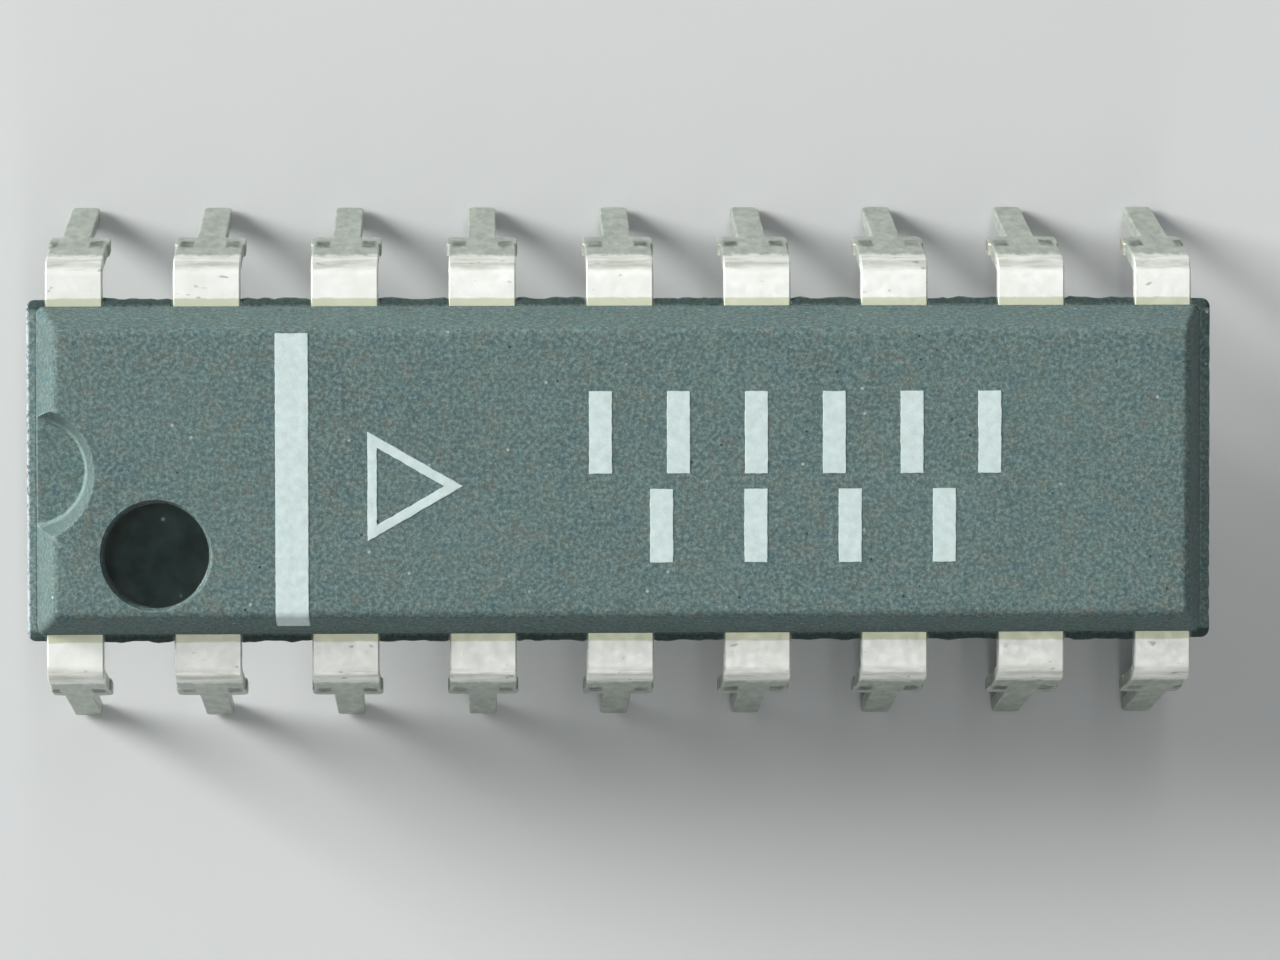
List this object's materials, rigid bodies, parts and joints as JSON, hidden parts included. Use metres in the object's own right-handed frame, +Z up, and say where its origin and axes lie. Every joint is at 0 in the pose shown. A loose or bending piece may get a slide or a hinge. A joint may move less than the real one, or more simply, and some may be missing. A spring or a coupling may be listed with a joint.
{
  "type": "dip integrated circuit chip",
  "caption": "Plastic dual in-line chip package with tin-plated bent leads down both sides, an end notch, a first-lead dimple and a printed index stripe.",
  "frame": {"origin": "middle of the chip on the plane that the leg tips stand on", "axes": "+X along the body, away from the notched end; +Y across the body, away from the dimple; +Z up, out of the printed face"},
  "size_m": [0.022, 0.0098, 0.0066],
  "materials": {
    "moulding_compound": "matt moulded epoxy with mineral filler",
    "tinned_lead": "satin tin plating",
    "frame_metal": "bare stamped lead frame alloy",
    "adhesive": "silver-filled epoxy",
    "silicon": "polished silicon",
    "gold_wire": "drawn gold wire",
    "ink": "pale epoxy marking ink"
  },
  "bodies": {
    "root": {"moulded_body": "moulding_compound", "lead_1": "tinned_lead", "lead_2": "tinned_lead", "lead_3": "tinned_lead", "lead_4": "tinned_lead", "lead_5": "tinned_lead", "lead_6": "tinned_lead", "lead_7": "tinned_lead", "lead_8": "tinned_lead", "lead_9": "tinned_lead", "lead_10": "tinned_lead", "lead_11": "tinned_lead", "lead_12": "tinned_lead", "lead_13": "tinned_lead", "lead_14": "tinned_lead", "lead_15": "tinned_lead", "lead_16": "tinned_lead", "lead_17": "tinned_lead", "lead_18": "tinned_lead", "die_pad": "frame_metal", "die_adhesive": "adhesive", "silicon_die": "silicon", "bond_wire_1": "gold_wire", "bond_wire_2": "gold_wire", "bond_wire_3": "gold_wire", "bond_wire_4": "gold_wire", "bond_wire_5": "gold_wire", "bond_wire_6": "gold_wire", "bond_wire_7": "gold_wire", "bond_wire_8": "gold_wire", "bond_wire_9": "gold_wire", "bond_wire_10": "gold_wire", "bond_wire_11": "gold_wire", "bond_wire_12": "gold_wire", "bond_wire_13": "gold_wire", "bond_wire_14": "gold_wire", "bond_wire_15": "gold_wire", "bond_wire_16": "gold_wire", "bond_wire_17": "gold_wire", "bond_wire_18": "gold_wire", "index_stripe": "ink", "printed_marks": "ink"}
  },
  "joints": []
}
